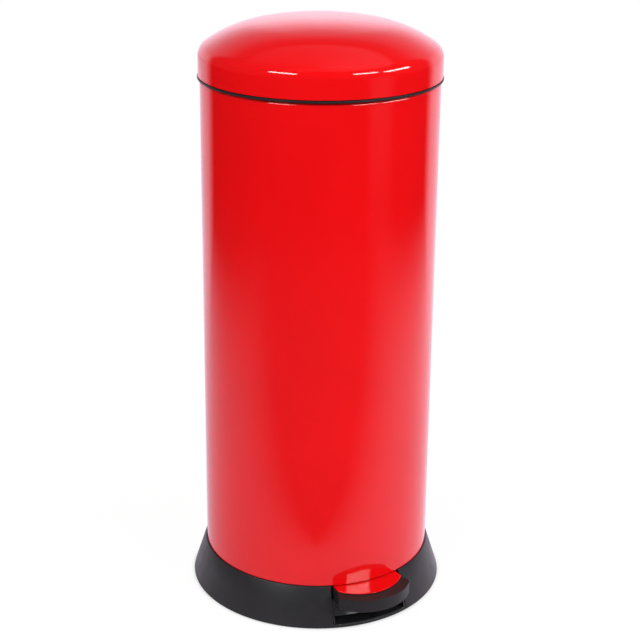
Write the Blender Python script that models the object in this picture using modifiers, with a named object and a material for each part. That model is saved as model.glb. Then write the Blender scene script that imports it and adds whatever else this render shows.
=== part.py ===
"""A round steel waste bin with a domed lid that a foot pedal opens, for Blender 4.5.

The bin stands on z = 0 with its axis on the Z axis. The pedal is at the front, towards -Y, and the lid's
hinge is at the back. A rocking lever in the base carries the pedal's travel to a rod at the back, and the
rod lifts a crank on the lid's hinge arm.

Sizes are in millimetres and angles in degrees. The helpers turn them into metres and radians.
"""

import math

import bmesh
import bpy
from mathutils import Vector

MM = 0.001
GAP = 0.3  # left between pieces that rest on each other
SIDES = 48  # facets round the large turned pieces
SMALL_SIDES = 20  # facets round pins and screws

# Driving dimensions
BODY_RADIUS = 127.0
SHEET = 0.8  # thickness of the steel sheet
BASE_RADIUS = 142.6
BASE_HEIGHT = 44.7
BODY_TOP = 581.8
SHOULDER_RADIUS = 4.0  # rounding round the top of the body
COLLAR_RADIUS = 129.6
COLLAR_BOTTOM, COLLAR_TOP = 582.2, 585.2
COLLAR_EDGE = 584.3  # top of the collar's thinner outer edge, which shows under the lid
LID_RADIUS = 128.8
LID_BOTTOM = 584.9
LID_SHOULDER = 604.2  # height at which the lid's skirt starts to round over
LID_FILLET = 16.0
HAUNCH_RADIUS, HAUNCH_SLOPE = 140.0, 34.3  # the arc above the fillet, and its slope where they meet
CROWN_SLOPE = 11.7  # slope where the haunch meets the flatter crown
DECK_BOTTOM, DECK_TOP = 46.0, 48.5

# The linkage, as (y, z) points of its axes
LID_OPENING = 80.0
PEDAL_SWING = 9.5
PIVOT = (-14.5, 27.0)
ROD_Y = 120.64
HOOK_Z = 15.0
HINGE = (136.0, 583.0)
ROD_TRAVEL = 2 * math.sin(math.radians(PEDAL_SWING / 2)) * math.hypot(ROD_Y - PIVOT[0], HOOK_Z - PIVOT[1])
CRANK_RADIUS = ROD_TRAVEL / (2 * math.sin(math.radians(LID_OPENING / 2)))
CRANK_ANGLE = 180 + LID_OPENING / 2  # where the crank stands with the lid shut, as seen from +X
CRANK_PIN = (
    HINGE[0] + CRANK_RADIUS * math.cos(math.radians(CRANK_ANGLE)),
    HINGE[1] + CRANK_RADIUS * math.sin(math.radians(CRANK_ANGLE)),
)

# Pedal
TREAD_HALF, TREAD_FRONT, TREAD_BACK, TREAD_ARC = 43.6, 165.3, 108.0, 56.0
TREAD_CORNER = 8.0  # radius in plan at the two ends of the tread's front
TREAD_BOTTOM, TREAD_TOP = 28.0, 42.3
COVER_HALF, COVER_FRONT, COVER_BACK, COVER_ARC = 39.2, 151.4, 116.0, 50.0
COVER_NECK, COVER_SHOULDER = 38.8, 126.0
COVER_THICKNESS = 1.2
TREAD_NECK, TREAD_SHOULDER = 40.2, 128.0  # the tread is narrower where it passes through the base
NOTCH_HALF = 42.0  # half the width of the notch in the base

# Bucket and its bail
BUCKET_TOP_RADIUS, BUCKET_FOOT_RADIUS, BUCKET_WALL = 111.5, 104.0, 2.0
BUCKET_FOOT = DECK_TOP + 0.5
RIM_RADIUS = 120.0
RIM_BOTTOM, RIM_TOP = COLLAR_TOP + GAP, COLLAR_TOP + GAP + 2.5
BAIL_RADIUS, BAIL_Z, BAIL_WIRE = 113.0, 592.7, 2.0

# Rear carrying handle
HANDLE_BOTTOM, HANDLE_TOP = 496.0, 516.0
HANDLE_REACH = 164.5

PARTS = None
CUTTERS = None


# Materials and helpers


def start_scene():
    """Empties the scene and makes the two collections."""
    for obj in list(bpy.data.objects):
        bpy.data.objects.remove(obj, do_unlink=True)
    made = []
    for name in ("pedal_bin", "cutters"):
        collection = bpy.data.collections.new(name)
        bpy.context.scene.collection.children.link(collection)
        made.append(collection)
    return made


def material(name, colour, roughness, metallic=0.0):
    found = bpy.data.materials.get(name)
    if found:
        return found
    made = bpy.data.materials.new(name)
    made.use_nodes = True
    shader = made.node_tree.nodes["Principled BSDF"]
    shader.inputs["Base Color"].default_value = (*colour, 1.0)
    shader.inputs["Roughness"].default_value = roughness
    shader.inputs["Metallic"].default_value = metallic
    return made


def red_enamel():
    return material("red_enamel", (0.72, 0.006, 0.010), 0.12)


def black_plastic():
    return material("black_plastic", (0.025, 0.024, 0.027), 0.45)


def bucket_plastic():
    return material("bucket_plastic", (0.045, 0.045, 0.048), 0.5)


def zinc_steel():
    return material("zinc_steel", (0.56, 0.57, 0.58), 0.35, 1.0)


def rubber():
    return material("rubber", (0.02, 0.02, 0.02), 0.8)


def place(obj, finish, collection=None):
    obj.data.materials.append(finish)
    (collection or PARTS).objects.link(obj)
    return obj


def as_cutter(obj):
    """Makes obj a helper that a Boolean reads and that isn't a part of the bin."""
    for collection in list(obj.users_collection):
        collection.objects.unlink(obj)
    CUTTERS.objects.link(obj)
    obj.hide_render = True
    obj.display_type = "WIRE"
    return obj


def boolean(obj, operation, helpers):
    for helper in helpers:
        modifier = obj.modifiers.new(f"{operation.title()} {helper.name}", "BOOLEAN")
        modifier.operation = operation
        modifier.object = as_cutter(helper)
    return obj


def cut(obj, *helpers):
    return boolean(obj, "DIFFERENCE", helpers)


def join(obj, *helpers):
    return boolean(obj, "UNION", helpers)


def rounded(obj, width, segments=2):
    modifier = obj.modifiers.new("Rounded edges", "BEVEL")
    modifier.width = width * MM
    modifier.segments = segments
    modifier.limit_method = "ANGLE"
    modifier.angle_limit = math.radians(50)
    return obj


def arc(centre, radius, start, end, steps):
    """Points round part of a circle, from the start angle to the end angle in degrees."""
    angles = [math.radians(start + (end - start) * i / steps) for i in range(steps + 1)]
    return [(centre[0] + radius * math.cos(a), centre[1] + radius * math.sin(a)) for a in angles]


def turned(name, profile, finish, closed=True, steps=SIDES):
    """A solid of revolution about Z. The profile is (radius, height) points that run down the outer side.

    A closed profile makes a ring. An open one starts and ends on the axis.
    """
    mesh = bpy.data.meshes.new(name)
    count = len(profile)
    edges = [(i, i + 1) for i in range(count - 1)] + ([(count - 1, 0)] if closed else [])
    mesh.from_pydata([(r * MM, 0, z * MM) for r, z in profile], edges, [])
    obj = place(bpy.data.objects.new(name, mesh), finish)
    turn = obj.modifiers.new("Turn", "SCREW")
    turn.steps = turn.render_steps = steps
    turn.use_merge_vertices = True
    turn.merge_threshold = 0.00001
    return obj


def box(name, low, high, finish):
    """A block between two corners, with its origin at its centre."""
    low, high = Vector(low) * MM, Vector(high) * MM
    bm = bmesh.new()
    bmesh.ops.create_cube(bm, size=1.0)
    bmesh.ops.scale(bm, vec=high - low, verts=bm.verts)
    mesh = bpy.data.meshes.new(name)
    bm.to_mesh(mesh)
    bm.free()
    obj = place(bpy.data.objects.new(name, mesh), finish)
    obj.location = (low + high) / 2
    return obj


def cylinder(name, radius, start, end, finish, sides=SMALL_SIDES):
    """A round bar from one point to another."""
    start, end = Vector(start) * MM, Vector(end) * MM
    along = end - start
    bm = bmesh.new()
    bmesh.ops.create_cone(
        bm, cap_ends=True, segments=sides, radius1=radius * MM, radius2=radius * MM, depth=along.length
    )
    mesh = bpy.data.meshes.new(name)
    bm.to_mesh(mesh)
    bm.free()
    mesh.shade_smooth()
    mesh.set_sharp_from_angle(angle=math.radians(40))
    obj = place(bpy.data.objects.new(name, mesh), finish)
    obj.location = (start + end) / 2
    obj.rotation_euler = along.to_track_quat("Z", "Y").to_euler()
    return obj


def mesh_of(obj):
    """Replaces a curve object by the mesh that it evaluates to, with its caps welded to its sides."""
    bpy.context.view_layer.update()
    graph = bpy.context.evaluated_depsgraph_get()
    mesh = bpy.data.meshes.new_from_object(obj.evaluated_get(graph))
    bm = bmesh.new()
    bm.from_mesh(mesh)
    bmesh.ops.remove_doubles(bm, verts=bm.verts, dist=0.000005)
    bm.to_mesh(mesh)
    bm.free()
    name, world, finish = obj.name, obj.matrix_world.copy(), obj.data.materials[0]
    bpy.data.objects.remove(obj)
    mesh.materials.clear()
    made = place(bpy.data.objects.new(name, mesh), finish)
    made.matrix_world = world
    return made


def plate(name, outlines, low, high, finish, normal="Z"):
    """A flat piece: a closed outline, and any holes in it, made thick along Z or along X.

    Along Z the outline's points are (x, y), and along X they are (y, z).
    """
    curve = bpy.data.curves.new(name, "CURVE")
    curve.dimensions = "2D"
    curve.fill_mode = "BOTH"
    curve.extrude = (high - low) / 2 * MM
    for outline in outlines:
        spline = curve.splines.new("POLY")
        spline.points.add(len(outline) - 1)
        spline.use_cyclic_u = True
        for point, (across, along) in zip(spline.points, outline):
            point.co = (across * MM, along * MM, 0, 1)
    obj = place(bpy.data.objects.new(name, curve), finish)
    middle = (low + high) / 2 * MM
    if normal == "X":
        obj.location = (middle, 0, 0)
        obj.rotation_euler = (math.pi / 2, 0, math.pi / 2)
    else:
        obj.location = (0, 0, middle)
    return mesh_of(obj)


def wire(name, route, radius, finish):
    """A round wire with closed ends, along a list of points."""
    curve = bpy.data.curves.new(name, "CURVE")
    curve.dimensions = "3D"
    curve.bevel_depth = radius * MM
    curve.bevel_resolution = 2
    curve.use_fill_caps = True
    spline = curve.splines.new("POLY")
    spline.points.add(len(route) - 1)
    for point, at in zip(spline.points, route):
        point.co = (at[0] * MM, at[1] * MM, at[2] * MM, 1)
    return mesh_of(place(bpy.data.objects.new(name, curve), finish))


def circle(centre, radius, steps=SMALL_SIDES):
    return arc(centre, radius, 0, 360, steps)[:-1]


def at_angle(angle, radius, z):
    """A point at a distance from the bin's axis. The angle is measured from +Y towards +X."""
    turn = math.radians(angle)
    return (radius * math.sin(turn), radius * math.cos(turn), z)


def screw(name, seat, towards, length, shank=1.9, head=3.6, head_height=2.2):
    """A pan-head screw whose head sits at seat and whose shank points at towards."""
    profile = [(0, length), (shank, length), (shank, 0), (head, 0), (head, -0.6 * head_height)]
    profile += [(0.7 * head, -head_height), (0, -head_height)]
    obj = turned(name, profile, zinc_steel(), closed=False, steps=SMALL_SIDES)
    obj.location = Vector(seat) * MM
    obj.rotation_euler = (Vector(towards) - Vector(seat)).to_track_quat("Z", "Y").to_euler()
    return obj


def drill(name, radius, start, end):
    return cylinder(name, radius, start, end, zinc_steel())


# Base


def build_base():
    slope = (BASE_RADIUS - 0.1 - (BODY_RADIUS + 1.6)) / (BASE_HEIGHT - 1.7)
    wall = 3.2  # thickness of the flared wall, measured level
    ledge_bottom, ledge_top, spigot_top = 38.5, DECK_BOTTOM - GAP, 60.0
    top_radius = BODY_RADIUS + 1.6

    def flare(z):
        return top_radius + slope * (BASE_HEIGHT - z)

    profile = [
        (top_radius, BASE_HEIGHT),
        (flare(1.7), 1.7),
        (BASE_RADIUS, 1.1),
        (BASE_RADIUS - 0.5, 0.4),
        (139.4, 0.4),
        (139.4, 2.0),
        (124.0, 2.0),
        (124.0, 4.2),
        (flare(4.2) - wall, 4.2),
        (flare(ledge_bottom) - wall, ledge_bottom),
        (118.0, ledge_bottom),
        (118.0, ledge_top),
        (122.5, ledge_top),
        (122.5, spigot_top),
        (125.6, spigot_top),
        (125.6, BASE_HEIGHT),
    ]
    base = turned("base_skirt", profile, black_plastic())
    notch = box("pedal_notch", (-NOTCH_HALF, -155, 4.25), (NOTCH_HALF, -100, 46.5), black_plastic())
    rod_slot = box("rod_slot", (-13.5, 108, 30), (13.5, 125.95, 62), black_plastic())
    cut(base, notch, rod_slot)

    pad_circle = 131.0
    for name, angle in (("rear_right", 45), ("front_right", 135), ("front_left", 225), ("rear_left", 315)):
        low, high = at_angle(angle, pad_circle, 0), at_angle(angle, pad_circle, 2.0 - GAP)
        cylinder(f"foot_pad_{name}", 6.5, low, high, rubber(), sides=24)

    deck = [(0, DECK_TOP), (122.2, DECK_TOP), (122.2, DECK_BOTTOM), (0, DECK_BOTTOM)]
    deck_plate = turned("deck_plate", deck, black_plastic(), closed=False)
    notch = box("deck_notch", (-13.5, 112, 40), (13.5, 130, 55), black_plastic())
    holes = [drill(f"deck_hole_{x}", 2.2, (x, PIVOT[0], 40), (x, PIVOT[0], 55)) for x in (-14, 14)]
    cut(deck_plate, notch, *holes)


def build_pivot():
    """The bracket under the deck that holds the lever's pin, and the pin."""
    y, z = PIVOT
    web_bottom, web_top = 43.2, DECK_BOTTOM - GAP
    inner, outer = 21.0, 23.5
    bracket = box("pivot_bracket", (-outer, y - 16, web_bottom), (outer, y + 16, web_top), zinc_steel())
    cheek = [(y + 16, web_bottom + 1.0), (y - 16, web_bottom + 1.0), *arc((y, z), 7, 180, 360, 10)]
    for side, low, high in (("left", -outer, -inner), ("right", inner, outer)):
        outline = [cheek, circle((y, z), 3.25)]
        join(bracket, plate(f"pivot_cheek_{side}", outline, low, high, zinc_steel(), "X"))
    cut(bracket, *[drill(f"bracket_hole_{x}", 2.2, (x, y, 40), (x, y, 50)) for x in (-14, 14)])
    for side, x in (("left", -14), ("right", 14)):
        screw(f"bracket_screw_{side}", (x, y, web_bottom - GAP), (x, y, 60), 5.2)

    pin = [(0, 26.0), (3.0, 26.0), (3.0, -24.2), (4.6, -24.2), (4.6, -26.4), (0, -26.4)]
    pin = turned("pivot_pin", pin, zinc_steel(), closed=False, steps=SMALL_SIDES)
    pin.location = (0, y * MM, z * MM)
    pin.rotation_euler = (0, math.pi / 2, 0)


# Pedal and lever


def tread_outline(half, neck, front, back, radius, shoulder, corner=0.0, inset=0.0):
    """The pedal's plan: a round front on a narrower neck, with a corner radius at each end of the front.

    The inset draws it smaller, but not at the back.
    """
    half, neck, front, radius = half - inset, neck - inset, front - inset, radius - inset
    corner = max(corner - inset, 0)
    centre = (0, -(front - radius))
    reach = math.degrees(math.asin((half - corner) / (radius - corner)))
    outline = [(neck, -back), (-neck, -back), (-neck, -shoulder)]
    front_arc = arc(centre, radius, 270 - reach, 270 + reach, 14)
    if corner:
        right = arc(centre, radius - corner, 270 + reach, 270 + reach, 1)[0]
        left = (-right[0], right[1])
        front_arc = arc(left, corner, 125, 270 - reach, 6)[:-1] + front_arc
        front_arc += arc(right, corner, reach - 90, 55, 6)[1:]
    return [*outline, *front_arc, (neck, -shoulder)]


def build_pedal():
    plan = (TREAD_HALF, TREAD_NECK, TREAD_FRONT, TREAD_BACK, TREAD_ARC, TREAD_SHOULDER, TREAD_CORNER)
    tread = tread_outline(*plan)
    tread = rounded(plate("pedal_tread", [tread], TREAD_BOTTOM, TREAD_TOP, black_plastic()), 1.2)
    hollow = tread_outline(*plan[:3], TREAD_BACK - 5, *plan[4:], inset=4.0)
    cut(tread, plate("tread_hollow", [hollow], TREAD_BOTTOM - 4, 38.5, black_plastic()))

    cover = tread_outline(COVER_HALF, COVER_NECK, COVER_FRONT, COVER_BACK, COVER_ARC, COVER_SHOULDER)
    cover_bottom = TREAD_TOP + GAP
    cover_top = cover_bottom + COVER_THICKNESS
    rounded(plate("pedal_cover", [cover], cover_bottom, cover_top, red_enamel()), 0.5)

    half_thick = 1.25
    spine = [(-152, 36.9), (-105, 36.9), (-30, 33.55), (0, 33.55), (100, 17.5), (111, 17.5)]
    strip = [(y, z + half_thick) for y, z in spine] + [(y, z - half_thick) for y, z in reversed(spine)]
    lever = plate("pedal_lever", [strip], -12, 12, zinc_steel(), "X")
    hook = (ROD_Y, HOOK_Z)
    ear = [(92, 20.8), (92, 17.0), *arc(hook, 4.8, 240, 450, 12)]
    join(lever, plate("lever_ear", [ear, circle(hook, 2.8)], 6, 9, zinc_steel(), "X"))
    rivet_places = (-138, -118)
    cut(lever, *[drill(f"lever_hole_{-y}", 2.2, (0, y, 30), (0, y, 45)) for y in rivet_places])
    cut(tread, *[drill(f"tread_hole_{-y}", 2.2, (0, y, 33), (0, y, 50)) for y in rivet_places])
    for name, y in zip(("front", "rear"), rivet_places):
        screw(f"tread_screw_{name}", (0, y, 36.9 - half_thick - GAP), (0, y, 60), 6.4)

    bush = plate("pivot_bush", [circle(PIVOT, 5.0), circle(PIVOT, 3.3)], -20, 20, zinc_steel(), "X")
    bush.data.shade_smooth()
    bush.data.set_sharp_from_angle(angle=math.radians(40))


# Body


def build_body():
    bend = SHOULDER_RADIUS
    corner = (BODY_RADIUS - bend, BODY_TOP - bend)
    flange = 118.5
    profile = [(flange, BODY_TOP)]
    profile += list(reversed(arc(corner, bend, 0, 90, 4)))
    profile += [(BODY_RADIUS, BASE_HEIGHT + GAP), (BODY_RADIUS - SHEET, BASE_HEIGHT + GAP)]
    profile += arc(corner, bend - SHEET, 0, 90, 4)
    profile += [(flange, BODY_TOP - SHEET)]
    shell = turned("body_shell", profile, red_enamel())
    cut(shell, box("crank_slot", (-8, 110, 566), (8, 140, 590), red_enamel()))

    collar = [
        (122.0, COLLAR_TOP),
        (122.0, COLLAR_EDGE),
        (COLLAR_RADIUS - 0.5, COLLAR_EDGE),
        (COLLAR_RADIUS, COLLAR_EDGE - 0.6),
        (COLLAR_RADIUS, COLLAR_BOTTOM + 0.6),
        (COLLAR_RADIUS - 0.5, COLLAR_BOTTOM),
        (118.1, COLLAR_BOTTOM),
        (118.1, 572.0),
        (115.6, 572.0),
        (115.6, COLLAR_BOTTOM + 0.5),
        (113.5, COLLAR_BOTTOM + 0.5),
        (113.5, COLLAR_TOP),
    ]
    collar = turned("rim_collar", collar, black_plastic())
    cut(collar, box("collar_slot", (-8, 110, 560), (8, 140, 590), black_plastic()))
    return shell


def build_bucket():
    top, foot, wall = BUCKET_TOP_RADIUS, BUCKET_FOOT_RADIUS, BUCKET_WALL
    profile = [
        (0, BUCKET_FOOT + 2.5),
        (foot - wall - 3, BUCKET_FOOT + 2.5),
        (foot - wall, BUCKET_FOOT + 5.5),
        (top - wall, RIM_TOP),
        (RIM_RADIUS, RIM_TOP),
        (RIM_RADIUS, RIM_BOTTOM),
        (top, RIM_BOTTOM),
        (foot, BUCKET_FOOT + 3),
        (foot - 3, BUCKET_FOOT),
        (0, BUCKET_FOOT),
    ]
    bucket = turned("inner_bucket", profile, bucket_plastic(), closed=False)
    lug_bottom = RIM_TOP - 1.0
    lug = [(5, lug_bottom), *arc((0, BAIL_Z), 5, 0, 180, 8), (-5, lug_bottom)]
    for side, low, high in (("left", -119, -116), ("right", 116, 119)):
        outline = [lug, circle((0, BAIL_Z), 2.4)]
        join(bucket, plate(f"bail_lug_{side}", outline, low, high, bucket_plastic(), "X"))
    cut(bucket, box("rim_notch", (-9, 112.4, 580), (9, 130, 592), bucket_plastic()))

    bend = 3.0
    end = [(-120.2, 0, BAIL_Z)]
    end += [(x, y, BAIL_Z) for x, y in arc((-BAIL_RADIUS - bend, -bend), bend, 90, 0, 4)]
    sweep = [(x, y, BAIL_Z) for x, y in arc((0, 0), BAIL_RADIUS, 183, 270, 12)]
    half = end + sweep
    route = half + [(-x, y, z) for x, y, z in reversed(half[:-1])]
    wire("bucket_bail", route, BAIL_WIRE, zinc_steel())
    grip_reach = 22
    grip = [(x, y, BAIL_Z) for x, y in arc((0, 0), BAIL_RADIUS, 270 - grip_reach, 270 + grip_reach, 10)]
    core = [(x, y, BAIL_Z) for x, y in arc((0, 0), BAIL_RADIUS, 262 - grip_reach, 278 + grip_reach, 14)]
    grip = wire("bail_grip", grip, 4.0, bucket_plastic())
    cut(grip, wire("grip_core", core, BAIL_WIRE + GAP, bucket_plastic()))


# Lift rod


def build_rod():
    bend = 4.0
    route = [(12.0, ROD_Y, HOOK_Z)]
    route += [(x, ROD_Y, z) for x, z in arc((bend, HOOK_Z + bend), bend, 270, 180, 5)]
    route += [(0, ROD_Y, 559.0)]
    wire("lift_rod", route, 2.0, zinc_steel())

    rings = [circle((ROD_Y, HOOK_Z), 4.4), circle((ROD_Y, HOOK_Z), 2.25)]
    clip = plate("rod_clip", rings, 9.5, 10.7, zinc_steel(), "X")
    clip.data.shade_smooth()
    clip.data.set_sharp_from_angle(angle=math.radians(40))

    back, mouth = 113.6, 125.2
    slot_half, slot_end = 2.65, 118.6
    low, high = CRANK_PIN[1] - slot_half, CRANK_PIN[1] + slot_half
    fork = [(back, 564.0), (118.0, 559.0), (123.2, 559.0), (mouth, 564.0), (mouth, low)]
    fork += list(reversed(arc((slot_end, CRANK_PIN[1]), slot_half, 90, 270, 8)))
    fork += [(mouth, high), (mouth, high + 3.0), (back, high + 3.0)]
    head = cylinder("rod_head", 4.4, (0, ROD_Y, 550), (0, ROD_Y, 562), black_plastic())
    join(head, plate("rod_fork", [fork], -2, 2, black_plastic(), "X"))
    cut(head, drill("rod_socket", 2.25, (0, ROD_Y, 545), (0, ROD_Y, 559.4)))

    for name, z in (("lower", 190.0), ("upper", 480.0)):
        guide = box(f"rod_guide_{name}", (-10, 115, z - 8), (10, 132, z + 8), black_plastic())
        ends = (0, 0, z - 20), (0, 0, z + 20)
        inside = cylinder(f"shell_inside_{name}", BODY_RADIUS - SHEET - GAP, *ends, black_plastic(), SIDES)
        boolean(guide, "INTERSECT", [inside])
        cut(guide, drill(f"guide_bore_{name}", 2.4, (0, ROD_Y, z - 20), (0, ROD_Y, z + 20)))


# Lid and hinge


def dome_arcs():
    """The three arcs of the lid's side, from the skirt up, as (centre, radius, start, end) in degrees."""
    steep, flat = 90 - HAUNCH_SLOPE, 90 - CROWN_SLOPE
    corner = (LID_RADIUS - LID_FILLET, LID_SHOULDER)
    meet = arc(corner, LID_FILLET, steep, steep, 1)[0]
    haunch = arc(meet, -HAUNCH_RADIUS, steep, steep, 1)[0]
    meet = arc(haunch, HAUNCH_RADIUS, flat, flat, 1)[0]
    crown_radius = meet[0] / math.cos(math.radians(flat))
    crown = (0, meet[1] - crown_radius * math.sin(math.radians(flat)))
    return [
        (corner, LID_FILLET, 0, steep),
        (haunch, HAUNCH_RADIUS, steep, flat),
        (crown, crown_radius, flat, 90),
    ]


def build_lid():
    def side(inset):
        points = [(LID_RADIUS - inset, LID_BOTTOM), (LID_RADIUS - inset, LID_SHOULDER)]
        for (centre, radius, start, end), steps in zip(dome_arcs(), (6, 4, 4)):
            points += arc(centre, radius - inset, start, end, steps)[1:]
        points[-1] = (0, points[-1][1])
        return points[::-1]

    shell = turned("lid_shell", side(0) + list(reversed(side(SHEET))), red_enamel(), closed=False)
    notch_half, notch_top = 15.7, 601.2
    cut(shell, box("lid_notch", (-notch_half, 110, 580), (notch_half, 140, notch_top), red_enamel()))

    outer, inner = LID_RADIUS - SHEET - GAP, 124.4
    low, high = LID_BOTTOM + 0.6, 600.0
    ring = turned("lid_ring", [(outer, high), (outer, low), (inner, low), (inner, high)], black_plastic())
    cut(ring, box("ring_notch", (-notch_half, 110, 580), (notch_half, 140, 610), black_plastic()))
    return ring


def build_hinge(shell, ring):
    """The arm on the lid, the bracket on the body, and the pins and screws that hold them."""
    half, knuckle, bore = 15.0, 5.5, 2.35
    neck = [(121.5, 600.2), (121.5, 587.2), (130.3, 587.2), (HINGE[0] - knuckle, HINGE[1])]
    neck += arc(HINGE, knuckle, 180, 360, 12)[1:]
    neck += arc((131.5, 590.2), 10.0, 0, 90, 5)
    arm = plate("hinge_arm", [neck, circle(HINGE, bore)], -half, half, black_plastic(), "X")

    pad = turned("arm_pad", [(124.1, 599.7), (124.1, 587.3), (120.6, 587.3), (120.6, 599.7)], black_plastic())
    pad_side = 30.0
    pad_width = box("pad_width", (-pad_side, 100, 580), (pad_side, 130, 610), black_plastic())
    boolean(pad, "INTERSECT", [pad_width])
    join(arm, pad)
    lean = math.atan2(HINGE[1] - CRANK_PIN[1], HINGE[0] - CRANK_PIN[0])
    lean = math.degrees(lean)
    crank = arc(CRANK_PIN, 4.2, lean + 90, lean + 270, 10)
    crank += arc(HINGE, knuckle - 0.4, lean - 90, lean + 90, 10)
    for side, low, high in (("left", -6.5, -3.0), ("right", 3.0, 6.5)):
        holes = [circle(CRANK_PIN, 2.2), circle(HINGE, bore)]
        join(arm, plate(f"crank_cheek_{side}", [crank, *holes], low, high, black_plastic(), "X"))
    cylinder("crank_pin", 2.0, (-7.2, *CRANK_PIN), (7.2, *CRANK_PIN), zinc_steel())

    for side, angle in (("left", -10.8), ("right", 10.8)):
        z = 593.5
        cut(arm, drill(f"arm_hole_{side}", 2.1, at_angle(angle, 116, z), at_angle(angle, 130, z)))
        cut(ring, drill(f"ring_hole_{side}", 2.1, at_angle(angle, 122, z), at_angle(angle, 130, z)))
        screw(f"arm_screw_{side}", at_angle(angle, 120.3, z), at_angle(angle, 140, z), 6.8)

    foot, plate_top = 536.0, 566.0
    ear = [(HINGE[0] - knuckle, HINGE[1]), (HINGE[0] - knuckle, 580.0), (120.0, 575.0), (120.0, foot)]
    ear += [(131.5, foot), (134.0, foot + 2.5), (HINGE[0] + knuckle, 572.0)]
    ear += arc(HINGE, knuckle, 0, 180, 12)[:-1]
    bracket = box("hinge_bracket", (-24, 118, foot), (24, 132, plate_top), black_plastic())
    for side, low, high in (("left", -24.0, -15.4), ("right", 15.4, 24.0)):
        outline = [ear, circle(HINGE, 2.2)]
        join(bracket, plate(f"hinge_ear_{side}", outline, low, high, black_plastic(), "X"))
    hug = cylinder("bracket_hug", BODY_RADIUS + GAP, (0, 0, 520), (0, 0, 581), black_plastic(), SIDES)
    cut(bracket, hug)
    for side, angle in (("left", -6.4), ("right", 6.4)):
        z = 550.0
        cut(shell, drill(f"bracket_shell_hole_{side}", 2.3, at_angle(angle, 120, z), at_angle(angle, 131, z)))
        cut(bracket, drill(f"bracket_bore_{side}", 2.2, at_angle(angle, 120, z), at_angle(angle, 131, z)))
        seat = at_angle(angle, BODY_RADIUS - SHEET - GAP, z)
        screw(f"hinge_screw_{side}", seat, at_angle(angle, 140, z), 4.4)

    pin = [(0, 26.0), (2.0, 26.0), (2.0, -24.4), (3.4, -24.4), (3.4, -26.2), (0, -26.2)]
    pin = turned("hinge_pin", pin, zinc_steel(), closed=False, steps=SMALL_SIDES)
    pin.location = (0, HINGE[0] * MM, HINGE[1] * MM)
    pin.rotation_euler = (0, math.pi / 2, 0)


def build_handle(shell):
    """The carrying handle on the back of the body, with its finger gap."""
    half, inner_half, corner = 47.0, 32.0, 16.0
    gap_front, gap_back = 132.0, 151.5
    outline = [(-half, 110), (half, 110)]
    outline += arc((half - corner, HANDLE_REACH - corner), corner, 0, 90, 6)
    outline += arc((corner - half, HANDLE_REACH - corner), corner, 90, 180, 6)
    small = 5.0
    hole = arc((inner_half - small, gap_front + small), small, 0, -90, 4)
    hole += arc((small - inner_half, gap_front + small), small, -90, -180, 4)
    hole += arc((small - inner_half, gap_back - small), small, 180, 90, 4)
    hole += arc((inner_half - small, gap_back - small), small, 90, 0, 4)
    handle = plate("carry_handle", [outline, hole], HANDLE_BOTTOM, HANDLE_TOP, black_plastic())
    rounded(handle, 2.5)
    low, high = (0, 0, HANDLE_BOTTOM - 10), (0, 0, HANDLE_TOP + 10)
    cut(handle, cylinder("handle_hug", BODY_RADIUS + GAP, low, high, black_plastic(), SIDES))
    z = (HANDLE_BOTTOM + HANDLE_TOP) / 2
    for side, angle in (("left", -18.0), ("right", 18.0)):
        hole = at_angle(angle, 120, z), at_angle(angle, 138.5, z)
        cut(shell, drill(f"handle_shell_hole_{side}", 2.3, *hole))
        cut(handle, drill(f"handle_bore_{side}", 2.2, *hole))
        seat = at_angle(angle, BODY_RADIUS - SHEET - GAP, z)
        screw(f"handle_screw_{side}", seat, at_angle(angle, 150, z), 11.5)


def carry(name, at, pieces):
    """Parents the pieces that move together to an empty on their joint's axis."""
    axis = bpy.data.objects.new(name, None)
    axis.empty_display_type = "ARROWS"
    axis.empty_display_size = 20 * MM
    axis.location = Vector(at) * MM
    PARTS.objects.link(axis)
    bpy.context.view_layer.update()
    for piece in pieces:
        obj = bpy.data.objects[piece]
        obj.parent = axis
        obj.matrix_parent_inverse = axis.matrix_world.inverted()


def main():
    build_base()
    build_pivot()
    build_pedal()
    shell = build_body()
    build_bucket()
    build_rod()
    ring = build_lid()
    build_hinge(shell, ring)
    build_handle(shell)
    lid = ("lid_shell", "lid_ring", "hinge_arm", "crank_pin", "arm_screw_left", "arm_screw_right")
    pedal = ("pedal_tread", "pedal_cover", "pedal_lever", "pivot_bush")
    pedal += ("tread_screw_front", "tread_screw_rear")
    carry("lid_hinge_axis", (0, *HINGE), lid)
    carry("pedal_pivot_axis", (0, *PIVOT), pedal)
    carry("lift_rod_axis", (0, ROD_Y, HOOK_Z), ("lift_rod", "rod_clip", "rod_head"))
    carry("bail_axis", (0, 0, BAIL_Z), ("bucket_bail", "bail_grip"))


PARTS, CUTTERS = start_scene()
main()
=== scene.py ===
"""The look of the pedal bin: smooth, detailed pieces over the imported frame, with materials, light and camera.

Sizes are in millimetres and angles in degrees. The helpers turn them into metres and radians. The angle of
a point round the bin's axis is measured from the back, +Y, towards +X.
"""

import math

import bmesh
import bpy
from mathutils import Matrix, Vector


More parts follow.
